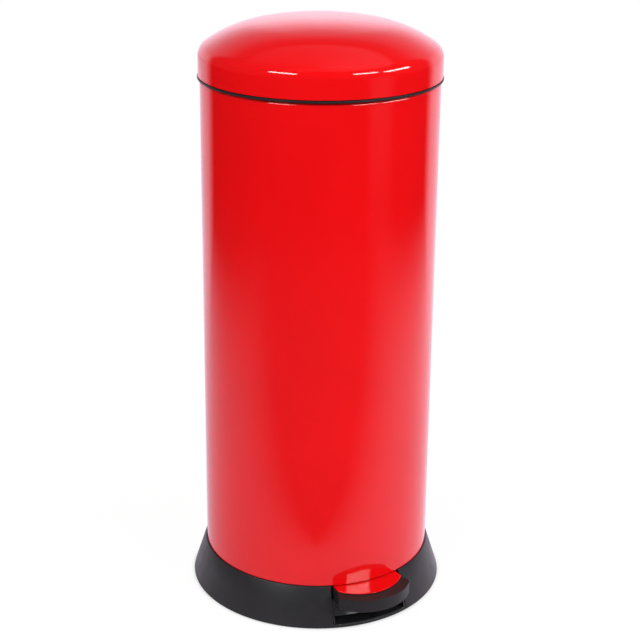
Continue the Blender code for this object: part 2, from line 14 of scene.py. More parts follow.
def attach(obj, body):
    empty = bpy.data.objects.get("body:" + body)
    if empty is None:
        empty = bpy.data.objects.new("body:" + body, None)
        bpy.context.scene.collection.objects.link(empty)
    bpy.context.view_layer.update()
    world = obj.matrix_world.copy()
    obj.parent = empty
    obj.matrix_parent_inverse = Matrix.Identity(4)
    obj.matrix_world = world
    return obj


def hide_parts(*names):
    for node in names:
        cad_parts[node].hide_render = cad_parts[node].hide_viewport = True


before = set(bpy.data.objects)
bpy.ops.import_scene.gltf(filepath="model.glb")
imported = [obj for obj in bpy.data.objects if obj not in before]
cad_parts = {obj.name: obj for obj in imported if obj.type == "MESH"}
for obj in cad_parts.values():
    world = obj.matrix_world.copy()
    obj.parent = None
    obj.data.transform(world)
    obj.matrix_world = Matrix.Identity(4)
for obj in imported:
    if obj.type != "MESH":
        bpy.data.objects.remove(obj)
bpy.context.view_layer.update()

MM = 0.001
WELD = 0.000005  # metres
STEPS = 192  # faces round a full turn of the large round pieces
SHARP = 34  # degrees: an edge that turns more than this stays sharp, or gets rounded over
BODY_R, SHEET = 127.0, 0.8
LID_R, LID_BOTTOM, LID_SHOULDER, LID_FILLET = 128.8, 584.9, 604.2, 16.0
HAUNCH_R, HAUNCH_SLOPE, CROWN_SLOPE = 140.0, 34.3, 11.7
NOTCH_HALF = 42.0  # half the width of the foot's notch, which the pedal moves in
COLLAR_R, COLLAR_LOW, COLLAR_EDGE, COLLAR_HIGH = 129.6, 582.2, 584.3, 585.2
HINGE = Vector((0, 136.0, 583.0))
HINGE_HALF, KNUCKLE_R = 15.0, 5.5
CRANK_REACH, CRANK_LEAN = 17.48, 220  # from the hinge to the crank pin, and its direction in the side view
PIVOT = Vector((0, -14.5, 27.0))
TREAD_LOW, TREAD_HIGH = 28.0, 42.3
ROD_Y, ROD_LOW, ROD_HIGH = 120.64, 15.0, 559.0
BAIL_Z, BAIL_R = 592.7, 113.0


# ---------------------------------------------------------------- meshes


def spot(angle, radius, z):
    """A point by its angle round the bin's axis, its radius and its height."""
    turn = math.radians(angle)
    return Vector((radius * math.sin(turn), radius * math.cos(turn), z))


def arc(centre, radius, start, end, steps):
    """Points along an arc in a plane, its angles measured from the first axis."""
    angles = [math.radians(start + (end - start) * i / steps) for i in range(steps + 1)]
    return [(centre[0] + radius * math.cos(a), centre[1] + radius * math.sin(a)) for a in angles]


def add_sheet(bm, rows, gaps=()):
    """A turned sheet. Each row is an outer and an inner (radius, height).

    A gap is (start angle, end angle, first row, last row), and is cut right through the sheet.
    """
    marks = sorted({angle % 360 for gap in gaps for angle in gap[:2]})
    angles = [360 * i / STEPS for i in range(STEPS)]
    angles = [a for a in angles if all(min(abs(a - m), 360 - abs(a - m)) > 0.45 for m in marks)]
    angles = sorted(angles + marks)
    count = len(angles)
    made = {}

    def vertex(side, j, k):
        radius, z = rows[k][side]
        key = (side, 0 if radius == 0 else j % count, round(radius, 3), round(z, 3))
        if key not in made:
            made[key] = bm.verts.new(spot(angles[j % count], radius, z) * MM)
        return made[key]

    def present(j, k):
        if not 0 <= k < len(rows) - 1:
            return False
        low = angles[j % count]
        high = angles[(j + 1) % count]
        middle = (low + (high - low) % 360 / 2) % 360
        for start, end, first, last in gaps:
            if (middle - start) % 360 < (end - start) % 360 and first <= k < last:
                return False
        return True

    def face(*corners):
        corners = list(dict.fromkeys(corners))
        if len(corners) > 2:
            bm.faces.new(corners)

    for j in range(count):
        for k in range(len(rows) - 1):
            if not present(j, k):
                continue
            for side in (0, 1):
                face(*[vertex(side, j + a, k + b) for a, b in ((0, 0), (1, 0), (1, 1), (0, 1))])
            borders = (
                ((0, -1), (0, 0), (1, 0)),
                ((0, 1), (0, 1), (1, 1)),
                ((-1, 0), (0, 0), (0, 1)),
                ((1, 0), (1, 0), (1, 1)),
            )
            for (dj, dk), (a, b), (c, d) in borders:
                at_pole = dk and rows[k + b][0][0] == 0
                if not present(j + dj, k + dk) and not at_pole:
                    ends = vertex(0, j + a, k + b), vertex(0, j + c, k + d)
                    face(*ends, vertex(1, j + c, k + d), vertex(1, j + a, k + b))


def add_turned(bm, profile, start=0, end=360, steps=STEPS, at=Matrix.Identity(4)):
    """A solid of revolution about Z.

    The profile is a closed loop of (radius, height), or runs from the axis to the axis.
    """
    whole = end - start >= 360
    count = max(3, round(steps * (end - start) / 360))
    turns = count if whole else count + 1
    rings = []
    for radius, z in profile:
        if radius == 0:
            rings.append([bm.verts.new(at @ (Vector((0, 0, z)) * MM))] * turns)
            continue
        angles = [start + (end - start) * i / count for i in range(turns)]
        rings.append([bm.verts.new(at @ (spot(a, radius, z) * MM)) for a in angles])
    open_ends = profile[0][0] == 0 and profile[-1][0] == 0
    pairs = list(zip(rings, rings[1:])) + ([] if open_ends else [(rings[-1], rings[0])])
    for upper, lower in pairs:
        for i in range(count):
            k = (i + 1) % turns if whole else i + 1
            corners = list(dict.fromkeys((upper[i], upper[k], lower[k], lower[i])))
            if len(corners) > 2:
                bm.faces.new(corners)
    if not whole:
        for i in (0, -1):
            bm.faces.new([ring[i] for ring in rings])


def add_box(bm, low, high):
    low, high = Vector(low) * MM, Vector(high) * MM
    made = bmesh.ops.create_cube(bm, size=1.0)["verts"]
    bmesh.ops.scale(bm, vec=high - low, verts=made)
    bmesh.ops.translate(bm, vec=(low + high) / 2, verts=made)


def as_object(name, bm, bevel=0.0, segments=2, angle=SHARP):
    """Ends the building of a mesh, and makes an object of it."""
    bmesh.ops.recalc_face_normals(bm, faces=bm.faces)
    mesh = bpy.data.meshes.new(name)
    bm.to_mesh(mesh)
    bm.free()
    return finish_mesh(name, mesh, bevel, segments, angle)


def finish_mesh(name, mesh, bevel=0.0, segments=2, angle=SHARP):
    """An object of this mesh, shaded smooth, with its edges rounded over if bevel is given."""
    mesh.shade_smooth()
    obj = bpy.data.objects.new(name, mesh)
    bpy.context.scene.collection.objects.link(obj)
    if bevel:
        round_over(obj, bevel, segments, angle)
    else:
        mesh.set_sharp_from_angle(angle=math.radians(angle))
    return obj


def round_over(obj, width, segments=2, angle=SHARP):
    """Rounds the sharp edges of an object."""
    obj.data.shade_smooth()
    modifier = obj.modifiers.new("Rounded edges", "BEVEL")
    modifier.width = width * MM
    modifier.segments = segments
    modifier.limit_method = "ANGLE"
    modifier.angle_limit = math.radians(angle)
    modifier.harden_normals = True
    bake(obj)


def real_mesh(obj):
    """The mesh that an object has after its modifiers, or that a curve draws."""
    bpy.context.view_layer.update()
    graph = bpy.context.evaluated_depsgraph_get()
    return bpy.data.meshes.new_from_object(obj.evaluated_get(graph))


def bake(obj):
    """Applies the modifiers of an object."""
    mesh = real_mesh(obj)
    obj.modifiers.clear()
    obj.data = mesh


def carve(obj, *tools):
    """Cuts the tools out of an object, and removes them."""
    for tool in tools:
        modifier = obj.modifiers.new("Carve", "BOOLEAN")
        modifier.operation = "DIFFERENCE"
        modifier.object = tool
    bake(obj)
    for tool in tools:
        bpy.data.objects.remove(tool)


def merged(name, *parts):
    """One object from several."""
    bm = bmesh.new()
    for part in parts:
        part.data.transform(part.matrix_world)
        bm.from_mesh(part.data)
    for part in parts:
        bpy.data.objects.remove(part)
    mesh = bpy.data.meshes.new(name)
    bm.to_mesh(mesh)
    bm.free()
    mesh.set_sharp_from_angle(angle=math.radians(SHARP))
    obj = bpy.data.objects.new(name, mesh)
    bpy.context.scene.collection.objects.link(obj)
    return obj


def plate(name, outlines, low, high, normal="Z", bevel=0.6, segments=3):
    """A flat piece from a closed outline and any holes, made thick along Z or X, with rounded edges."""
    curve = bpy.data.curves.new(name, "CURVE")
    curve.dimensions = "2D"
    curve.fill_mode = "BOTH"
    curve.extrude = (high - low) / 2 * MM
    for outline in outlines:
        spline = curve.splines.new("POLY")
        spline.points.add(len(outline) - 1)
        spline.use_cyclic_u = True
        for point, (across, along) in zip(spline.points, outline):
            point.co = (across * MM, along * MM, 0, 1)
    flat = bpy.data.objects.new(name, curve)
    bpy.context.scene.collection.objects.link(flat)
    mesh = real_mesh(flat)
    bpy.data.objects.remove(flat)
    bm = bmesh.new()
    bm.from_mesh(mesh)
    bmesh.ops.remove_doubles(bm, verts=bm.verts, dist=WELD)
    bmesh.ops.dissolve_limit(bm, angle_limit=0.01, verts=bm.verts, edges=bm.edges)
    middle = Matrix.Translation(Vector((0, 0, (low + high) / 2)) * MM)
    if normal == "X":
        swap = Matrix(((0, 0, 1, 0), (1, 0, 0, 0), (0, 1, 0, 0), (0, 0, 0, 1)))
        middle = swap @ middle
    bm.transform(middle)
    return as_object(name, bm, bevel, segments)


def wire(name, route, radius):
    """A round bar along a route of points."""
    curve = bpy.data.curves.new(name, "CURVE")
    curve.dimensions = "3D"
    curve.bevel_depth = radius * MM
    curve.bevel_resolution = 6
    curve.use_fill_caps = True
    spline = curve.splines.new("POLY")
    spline.points.add(len(route) - 1)
    for point, at in zip(spline.points, route):
        point.co = (at[0] * MM, at[1] * MM, at[2] * MM, 1)
    path = bpy.data.objects.new(name, curve)
    bpy.context.scene.collection.objects.link(path)
    mesh = real_mesh(path)
    bpy.data.objects.remove(path)
    bm = bmesh.new()
    bm.from_mesh(mesh)
    bmesh.ops.remove_doubles(bm, verts=bm.verts, dist=WELD)
    return as_object(name, bm, angle=50)


def circle(centre, radius, steps=48):
    return arc(centre, radius, 0, 360, steps)[:-1]


def cylinder(name, radius, start, end):
    """A bar between two points, which cuts a round seat."""
    start, end = Vector(start), Vector(end)
    length = (end - start).length
    bm = bmesh.new()
    at = Matrix.Translation(start * MM) @ (end - start).to_track_quat("Z", "Y").to_matrix().to_4x4()
    add_turned(bm, [(0, length), (radius, length), (radius, 0), (0, 0)], at=at)
    return as_object(name, bm)


def dress(obj, body, material, slot, *nodes):
    """Gives a finished piece its material and its body, and hides the nodes that it stands for."""
    obj.data.materials.clear()
    obj.data.materials.append(material)
    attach(obj, body)
    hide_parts(*nodes)


# ---------------------------------------------------------------- materials


NOISE_SPAN = (0.3, 0.7)


class Finish:
    """A material being built: a Principled BSDF, and the nodes that drive it."""

    def __init__(self, name, colour, roughness, metallic=0.0):
        self.material = bpy.data.materials.new(name)
        self.material.use_nodes = True
        self.tree = self.material.node_tree
        self.shader = self.tree.nodes["Principled BSDF"]
        self.shader.inputs["Base Color"].default_value = (*colour, 1)
        self.shader.inputs["Roughness"].default_value = roughness
        self.shader.inputs["Metallic"].default_value = metallic
        self.place = self.tree.nodes.new("ShaderNodeTexCoord").outputs["Object"]
        self.normal = None

    def noise(self, scale, detail, stretch=(1, 1, 1)):
        mapping = self.tree.nodes.new("ShaderNodeMapping")
        mapping.inputs["Scale"].default_value = stretch
        self.tree.links.new(self.place, mapping.inputs["Vector"])
        node = self.tree.nodes.new("ShaderNodeTexNoise")
        node.inputs["Scale"].default_value = scale
        node.inputs["Detail"].default_value = detail
        self.tree.links.new(mapping.outputs["Vector"], node.inputs["Vector"])
        return node.outputs["Fac"]

    def spread(self, value, low, high):
        """Maps the usual span of a noise to the numbers between low and high."""
        node = self.tree.nodes.new("ShaderNodeMapRange")
        node.inputs["From Min"].default_value = NOISE_SPAN[0]
        node.inputs["From Max"].default_value = NOISE_SPAN[1]
        node.inputs["To Min"].default_value = low
        node.inputs["To Max"].default_value = high
        self.tree.links.new(value, node.inputs["Value"])
        return node.outputs["Result"]

    def drive(self, socket, value):
        self.tree.links.new(value, self.shader.inputs[socket])

    def colours(self, value, *pair):
        """Runs the base colour from one colour to another over the usual span of a noise."""
        ramp = self.tree.nodes.new("ShaderNodeValToRGB")
        for stop, position, colour in zip(ramp.color_ramp.elements, NOISE_SPAN, pair):
            stop.position = position
            stop.color = (*colour, 1)
        self.tree.links.new(value, ramp.inputs["Fac"])
        self.tree.links.new(ramp.outputs["Color"], self.shader.inputs["Base Color"])

    def bump(self, value, strength, depth):
        """Adds a bump on top of the ones before it."""
        node = self.tree.nodes.new("ShaderNodeBump")
        node.inputs["Strength"].default_value = strength
        node.inputs["Distance"].default_value = depth * MM
        self.tree.links.new(value, node.inputs["Height"])
        if self.normal:
            self.tree.links.new(self.normal, node.inputs["Normal"])
        self.normal = node.outputs["Normal"]
        self.tree.links.new(self.normal, self.shader.inputs["Normal"])


def enamel():
    """Gloss red enamel on steel, with a slight unevenness."""
    finish = Finish("red_enamel_gloss", (0.80, 0.004, 0.006), 0.05)
    finish.colours(finish.noise(9, 2), (0.77, 0.0038, 0.0052), (0.82, 0.0042, 0.0060))
    finish.drive("Roughness", finish.spread(finish.noise(35, 4), 0.02, 0.045))
    finish.bump(finish.noise(190, 1), 0.25, 0.004)
    finish.bump(finish.noise(900, 2), 0.15, 0.0012)
    return finish.material


def moulded(name, dark, light, roughness, grain, specular=0.39):
    """A moulded plastic between two greys, with a fine grain."""
    finish = Finish(name, dark, roughness)
    finish.shader.inputs["Specular IOR Level"].default_value = specular
    finish.colours(finish.noise(24, 5), dark, light)
    finish.drive("Roughness", finish.spread(finish.noise(60, 4), roughness - 0.04, roughness + 0.05))
    finish.bump(finish.noise(1300, 3), grain, 0.02)
    finish.bump(finish.noise(45, 2), 0.2, 0.05)
    return finish.material


def zinc():
    """Zinc-plated steel, brushed a little."""
    finish = Finish("zinc_plated_steel", (0.6, 0.61, 0.62), 0.33, 1.0)
    finish.colours(finish.noise(70, 6), (0.52, 0.53, 0.55), (0.66, 0.665, 0.66))
    finish.drive("Roughness", finish.spread(finish.noise(240, 5), 0.24, 0.42))
    finish.bump(finish.noise(700, 4, (1, 0.15, 1)), 0.3, 0.01)
    return finish.material


def rubber():
    finish = Finish("foot_rubber", (0.02, 0.02, 0.02), 0.85)
    finish.colours(finish.noise(80, 4), (0.016, 0.016, 0.016), (0.03, 0.03, 0.03))
    finish.bump(finish.noise(1500, 4), 0.6, 0.05)
    return finish.material


ENAMEL = enamel()
BLACK = moulded("black_plastic_satin", (0.0165, 0.016, 0.018), (0.0205, 0.020, 0.022), 0.40, 0.35)
TREAD = moulded("tread_plastic_matt", (0.0135, 0.013, 0.0135), (0.0165, 0.016, 0.0165), 0.45, 0.4, 0.26)
BUCKET = moulded("bucket_plastic_grey", (0.040, 0.040, 0.043), (0.050, 0.050, 0.053), 0.45, 0.6)
ZINC = zinc()
RUBBER = rubber()


# ---------------------------------------------------------------- the bin's body


def make_shell():
    """The steel cylinder, with its top edge rolled inwards and a slot at the back for the rod."""
    bend, shoulder = 4.0, 577.8
    corner = (BODY_R - bend, shoulder)
    inner = BODY_R - SHEET
    rows = [((BODY_R, z), (inner, z)) for z in (45.0, 300.0, 566.0, shoulder)]
    outer_arc = arc(corner, bend, 0, 90, 10)[1:]
    inner_arc = arc(corner, bend - SHEET, 0, 90, 10)[1:]
    rows += list(zip(outer_arc, inner_arc))
    rows.append(((118.5, 581.8), (118.5, 581.0)))
    slot = 3.62  # degrees to each side of the rod
    bm = bmesh.new()
    add_sheet(bm, rows, [(-slot, slot, 2, len(rows))])
    dress(as_object("shell", bm, 0.25), "bin", ENAMEL, "red_enamel", "body_shell")


def make_collar():
    """The thin black ring under the lid, which is open at the back for the hinge's arm."""
    step, sleeve_outer, sleeve_inner, seat = 122.0, 118.1, 115.6, 113.5
    sleeve_low, seat_low, slot = 572.0, COLLAR_LOW + 0.5, 3.7
    profile = [
        (step, COLLAR_HIGH),
        (step, COLLAR_EDGE),
        (COLLAR_R, COLLAR_EDGE),
        (COLLAR_R, COLLAR_LOW),
        (sleeve_outer, COLLAR_LOW),
        (sleeve_outer, sleeve_low),
        (sleeve_inner, sleeve_low),
        (sleeve_inner, seat_low),
        (seat, seat_low),
        (seat, COLLAR_HIGH),
    ]
    bm = bmesh.new()
    add_turned(bm, profile, slot, 360 - slot)
    dress(as_object("collar", bm, 0.6, 3), "bin", BLACK, "black_plastic", "rim_collar")


def notch_tool():
    """The box that cuts the pedal's notch, with parallel sides."""
    bm = bmesh.new()
    add_box(bm, (-NOTCH_HALF, -160, 4.25), (NOTCH_HALF, -95, 47))
    return as_object("notch", bm)


def make_base():
    """The flared foot: its wall and floor, and the ledge that the shell and the deck stand on."""
    wall, top, low, head, foot, floor_top = 3.2, 44.7, 1.7, 128.6, 142.5, 4.2

    def flare(z):
        return head + (foot - head) / (top - low) * (top - z)

    floor_edge = (flare(floor_top) - wall, floor_top)
    rows = [((124.0, 2.0), (124.0, floor_top))]
    rim = [(139.4, 2.0), (139.4, 0.4), (142.0, 0.4), (142.6, 1.0), (142.4, 2.0)]
    rows += [(point, floor_edge) for point in rim]
    rows += [((flare(z), z), (flare(z) - wall, z)) for z in (floor_top + 0.1, 24, top - 0.7)]
    rows += [((flare(top) - 0.25, top), (flare(top) - wall, top))]
    bm = bmesh.new()
    add_sheet(bm, rows)
    skirt = as_object("skirt_wall", bm)
    carve(skirt, notch_tool())
    bm = bmesh.new()
    bm.from_mesh(skirt.data)

    def at_mouth(vertex):
        """Whether a vertex is on the notch's side and on the outer face of the skirt."""
        at_side = abs(abs(vertex.co.x) - NOTCH_HALF * MM) < 0.01 * MM and vertex.co.y < 0
        return at_side and abs(vertex.co.xy.length - flare(vertex.co.z / MM) * MM) < 0.2 * MM

    upright = [e for e in bm.edges if abs(e.verts[0].co.z - e.verts[1].co.z) > 0.1 * MM]
    mouth = [edge for edge in upright if all(at_mouth(vertex) for vertex in edge.verts)]
    bmesh.ops.bevel(bm, geom=mouth, offset=2.8 * MM, segments=5, profile=0.5, affect="EDGES")
    bm.to_mesh(skirt.data)
    bm.free()
    round_over(skirt, 0.45, 3, 38)
    bm = bmesh.new()
    ledge_low, deck, lip, slot = 38.5, 45.7, 60.0, 6.3
    ledge = [
        (125.6, lip),
        (125.6, top - 0.05),
        (127.2, top - 0.9),
        (head, ledge_low),
        (118.0, ledge_low),
        (118.0, deck),
        (122.5, deck),
        (122.5, lip),
    ]
    add_turned(bm, ledge, slot, 360 - slot)
    inside = as_object("skirt_ledge", bm)
    carve(inside, notch_tool())
    round_over(inside, 0.3)
    dress(merged("base", skirt, inside), "bin", BLACK, "black_plastic", "base_skirt")


def make_feet():
    places = {"rear_right": 45, "front_right": 135, "front_left": 225, "rear_left": 315}
    profile = [(0, 1.7), (6.5, 1.7), (6.5, 0.7), (6.2, 0.2), (5.6, 0), (3.4, 0), (3.0, 0.5), (0, 0.5)]
    for name, angle in places.items():
        bm = bmesh.new()
        add_turned(bm, profile, steps=64, at=Matrix.Translation(spot(angle, 131.0, 0) * MM))
        dress(as_object(f"foot_{name}", bm, angle=30), "bin", RUBBER, "rubber", f"foot_pad_{name}")


def make_bucket():
    """The inner bucket, with a rolled rim and a lug at each side for its handle."""
    top, foot, wall, low, high, rim = 111.5, 104.0, 2.0, 49.0, 588.0, 120.0
    inner_top, inner_foot = top - wall, foot - wall
    profile = [(0, low + 2.5), (60.0, low + 2.5), (62.0, low + 3.3), (inner_foot - 9, low + 3.3)]
    profile += arc((inner_foot - 8, low + 11.3), 8, 270, 356, 8)
    profile += [(inner_top - 1.3, high - 62), (inner_top - 0.4, high - 60), (inner_top - 0.2, high - 3)]
    profile += arc((inner_top + 1.4, high - 1.6), 1.6, 180, 90, 5)
    profile += arc((rim - 1.0, high - 1.0), 1.0, 90, 0, 4)
    profile += [(rim, high - 2.5), (top + 0.1, high - 2.5), (foot + 0.2, low + 8)]
    profile += arc((foot - 8, low + 8), 8, 0, -90, 6)
    profile += [(0, low)]
    bm = bmesh.new()
    add_turned(bm, profile)
    bucket = as_object("bucket_wall", bm, angle=50)
    bm = bmesh.new()
    add_box(bm, (-9, 112.4, 580), (9, 130, 592))
    carve(bucket, as_object("rim_notch", bm))
    pieces = [bucket]
    for low_x, high_x in ((-119, -116), (116, 119)):
        lug = [(6.5, high - 0.5), *arc((0, BAIL_Z), 5, 25, 155, 20), (-6.5, high - 0.5)]
        pieces.append(plate("lug", [lug, circle((0, BAIL_Z), 2.4, 32)], low_x, high_x, "X", 0.5))
    dress(merged("bucket", *pieces), "bin", BUCKET, "bucket_plastic", "inner_bucket")


def make_bail():
    """The bucket's wire handle, with a grip in its middle."""
    bend = 3.0
    half = [(-120.2, 0), *arc((-BAIL_R - bend, -bend), bend, 90, 0, 8), *arc((0, 0), BAIL_R, 183, 270, 48)]
    whole = half + [(-x, y) for x, y in reversed(half[:-1])]
    bail = wire("bail", [(x, y, BAIL_Z) for x, y in whole], 2.0)
    dress(bail, "bail", ZINC, "zinc_steel", "bucket_bail")
    tube = wire("bail_sleeve", [spot(158 + i, BAIL_R, BAIL_Z) for i in range(45)], 4.0)
    core = wire("grip_core", [spot(150 + i, BAIL_R, BAIL_Z) for i in range(61)], 2.25)
    carve(tube, core)
    tube.data.set_sharp_from_angle(angle=math.radians(40))
    dress(tube, "bail", BUCKET, "bucket_plastic", "bail_grip")


# ---------------------------------------------------------------- lid and hinge


def dome_arcs():
    """The three arcs of the lid's side, from the skirt up, as (centre, radius, start, end) in degrees."""
    steep, flat = 90 - HAUNCH_SLOPE, 90 - CROWN_SLOPE
    corner = (LID_R - LID_FILLET, LID_SHOULDER)
    meet = arc(corner, LID_FILLET, steep, steep, 1)[0]
    haunch = arc(meet, -HAUNCH_R, steep, steep, 1)[0]
    meet = arc(haunch, HAUNCH_R, flat, flat, 1)[0]
    crown_r = meet[0] / math.cos(math.radians(flat))
    crown = (0, meet[1] - crown_r * math.sin(math.radians(flat)))
    return [(corner, LID_FILLET, 0, steep), (haunch, HAUNCH_R, steep, flat), (crown, crown_r, flat, 90)]


def make_lid():
    """The domed lid, with a gap in its skirt for the hinge's arm."""

    def side(inset):
        points = [(LID_R - inset, LID_BOTTOM), (LID_R - inset, 594.0), (LID_R - inset, LID_SHOULDER)]
        for (centre, radius, start, end), steps in zip(dome_arcs(), (18, 14, 14)):
            points += arc(centre, radius - inset, start, end, steps)[1:]
        points[-1] = (0, points[-1][1])
        return points

    rows = list(zip(side(0), side(SHEET)))
    bm = bmesh.new()
    add_sheet(bm, rows, [(-7.0, 7.0, 0, 2)])
    dress(as_object("lid_dome", bm, 0.3, 3, 40), "lid", ENAMEL, "red_enamel", "lid_shell")


def make_lid_ring():
    """The black ring inside the lid's skirt, which the hinge's arm is screwed to."""
    outer, inner, low, high = 127.7, 124.4, LID_BOTTOM + 0.6, 600.0
    profile = [(outer, high), (outer, low), (inner, low), (inner, high - 1.5), (inner + 1.5, high)]
    bm = bmesh.new()
    add_turned(bm, profile, 7.2, 352.8)
    dress(as_object("lid_inner_ring", bm, 0.4, 3), "lid", BLACK, "black_plastic", "lid_ring")


SHANK = 5.0  # length of the shank that put_screw draws out
SCREW_SEAT = 125.9  # radius at which the screws inside the shell rest


def screw_mesh():
    """A pan-head screw with a cross recess. Its head rests on z = 0 and its shank points to +Z."""
    head, height, shank = 3.6, 2.2, 1.9
    bm = bmesh.new()
    profile = [(0, SHANK), (shank - 0.4, SHANK), (shank, SHANK - 0.6), (shank, 0)]
    profile += [(head - 0.15, 0), (head, -0.15)]
    profile += [(head, -0.9)] + arc((head - 1.3, -0.9), 1.3, 0, -70, 6)[1:] + [(0, -height)]
    add_turned(bm, profile, steps=40)
    screw = as_object("screw", bm, angle=40)
    tools = []
    for wide, deep in ((1.9, 0.32), (0.32, 1.9)):
        bm = bmesh.new()
        add_box(bm, (-wide, -deep, -3), (wide, deep, -1.0))
        tools.append(as_object("slot", bm))
    carve(screw, *tools)
    mesh = screw.data
    mesh.set_sharp_from_angle(angle=math.radians(30))
    bpy.data.objects.remove(screw)
    return mesh


SCREW = screw_mesh()


def put_screw(name, body, seat, towards, length, node):
    """A copy of the screw, with its shank drawn out to its length."""
    mesh = SCREW.copy()
    for vertex in mesh.vertices:
        if vertex.co.z > 0.002:
            vertex.co.z += (length - SHANK) * MM
    obj = bpy.data.objects.new(name, mesh)
    bpy.context.scene.collection.objects.link(obj)
    obj.location = Vector(seat) * MM
    obj.rotation_euler = (Vector(towards) - Vector(seat)).to_track_quat("Z", "Y").to_euler()
    dress(obj, body, ZINC, "zinc_steel", node)


def put_pin(name, body, node, at, radius, reach, head):
    """A pin along X with a domed head on its left end and a chamfer on the other."""
    profile = [(0, reach), (radius - 0.5, reach), (radius, reach - 0.5), (radius, -reach + 1.7)]
    profile += [(head, -reach + 1.7), (head, -reach + 0.8)]
    profile += arc((head - 0.8, -reach + 0.8), 0.8, 0, -90, 5)[1:] + [(0, -reach)]
    turn = Matrix.Rotation(math.pi / 2, 4, "Y")
    bm = bmesh.new()
    add_turned(bm, profile, steps=48, at=Matrix.Translation(at * MM) @ turn)
    dress(as_object(name, bm, angle=35), body, ZINC, "zinc_steel", node)


def make_hinge():
    """The lid's arm, with the cheeks that hold the crank pin, and its two screws."""
    knuckle, bore = KNUCKLE_R, 2.35
    y, z = HINGE.y, HINGE.z
    neck = [(121.5, 600.0), (121.5, 587.2), (130.3, 587.2), (y - knuckle, z + 1.0), (y - knuckle, z)]
    neck += arc((y, z), knuckle, 180, 360, 32)[1:]
    neck += arc((131.5, 590.0), 10.0, 0, 90, 14)
    arm = plate("arm", [neck, circle((y, z), bore)], -HINGE_HALF, HINGE_HALF, "X", 0.7)
    bm = bmesh.new()
    pad_profile = [(124.1, 599.7), (124.1, 587.3), (120.6, 587.3), (120.6, 599.7)]
    add_turned(bm, pad_profile, -14.0, 14.0, steps=240)
    pad = as_object("arm_pad", bm, 0.6, 3)
    lean = math.radians(CRANK_LEAN)
    pin_y, pin_z = y + CRANK_REACH * math.cos(lean), z + CRANK_REACH * math.sin(lean)
    crank = arc((pin_y, pin_z), 4.2, CRANK_LEAN - 90, CRANK_LEAN + 90, 24)
    crank += arc((y, z), knuckle - 0.4, CRANK_LEAN - 270, CRANK_LEAN - 90, 24)
    cheeks = []
    for low, high in ((-6.5, -3.0), (3.0, 6.5)):
        holes = [circle((pin_y, pin_z), 2.1, 32), circle((y, z), bore, 32)]
        cheeks.append(plate("cheek", [crank, *holes], low, high, "X", 0.5))
    dress(merged("lid_arm", arm, pad, *cheeks), "lid", BLACK, "black_plastic", "hinge_arm")

    bm = bmesh.new()
    at = Matrix.Translation(Vector((0, pin_y, pin_z)) * MM) @ Matrix.Rotation(math.pi / 2, 4, "Y")
    end, body_end = 7.2, 6.8
    rivet = [(0, end), (1.6, end), (2, body_end), (2, -body_end), (1.6, -end), (0, -end)]
    add_turned(bm, rivet, steps=40, at=at)
    dress(as_object("crank_rivet", bm, angle=35), "lid", ZINC, "zinc_steel", "crank_pin")
    screw_z = 593.5
    for side, angle in (("left", -10.8), ("right", 10.8)):
        seat, towards = spot(angle, 120.3, screw_z), spot(angle, 140, screw_z)
        put_screw(f"lid_screw_{side}", "lid", seat, towards, 6.8, f"arm_screw_{side}")


def make_hinge_bracket():
    """Two ears with a ribbed web between them, hollowed to fit the shell, and the lid's pin."""
    knuckle, foot, web_top, screw_z = KNUCKLE_R, 536.0, 566.0, 550
    y, z = HINGE.y, HINGE.z
    ear = [(y - knuckle, z), (y - knuckle, 580.0), (120.0, 575.0), (120.0, foot)]
    ear += [(131.0, foot), *arc((131.0, foot + 4), 4.0, 300, 350, 5), (y + knuckle - 0.4, 570.0)]
    ear += [(y + knuckle, 574.0), *arc((y, z), knuckle, 0, 180, 32)[:-1]]
    parts = []
    for low, high in ((-24.0, -15.4), (15.4, 24.0)):
        parts.append(plate("ear", [ear, circle((y, z), 2.15, 32)], low, high, "X", 0.9))
    web = [(118, foot), (131.0, foot), (132.5, foot + 1.5)]
    web += [(132.5, web_top - 1.5), (131.0, web_top), (118, web_top)]
    parts.append(plate("web", [web], -16.5, 16.5, "X", 0.5))
    for rib in (-7.5, 0.0, 7.5):
        outline = [(130, foot + 5), (133.6, foot + 7), (133.6, web_top - 7), (130, web_top - 5)]
        parts.append(plate("rib", [outline], rib - 1.0, rib + 1.0, "X", 0.3))
    for part in parts:
        carve(part, cylinder("hug", BODY_R + 0.1, (0, 0, foot - 16), (0, 0, 581.5)))
    dress(merged("hinge_mount", *parts), "bin", BLACK, "black_plastic", "hinge_bracket")
    for side, angle in (("left", -6.4), ("right", 6.4)):
        seat, towards = spot(angle, SCREW_SEAT, screw_z), spot(angle, 140, screw_z)
        put_screw(f"hinge_mount_screw_{side}", "bin", seat, towards, 4.4, f"hinge_screw_{side}")
    put_pin("lid_pin", "bin", "hinge_pin", HINGE, 2.0, 26.1, 3.4)


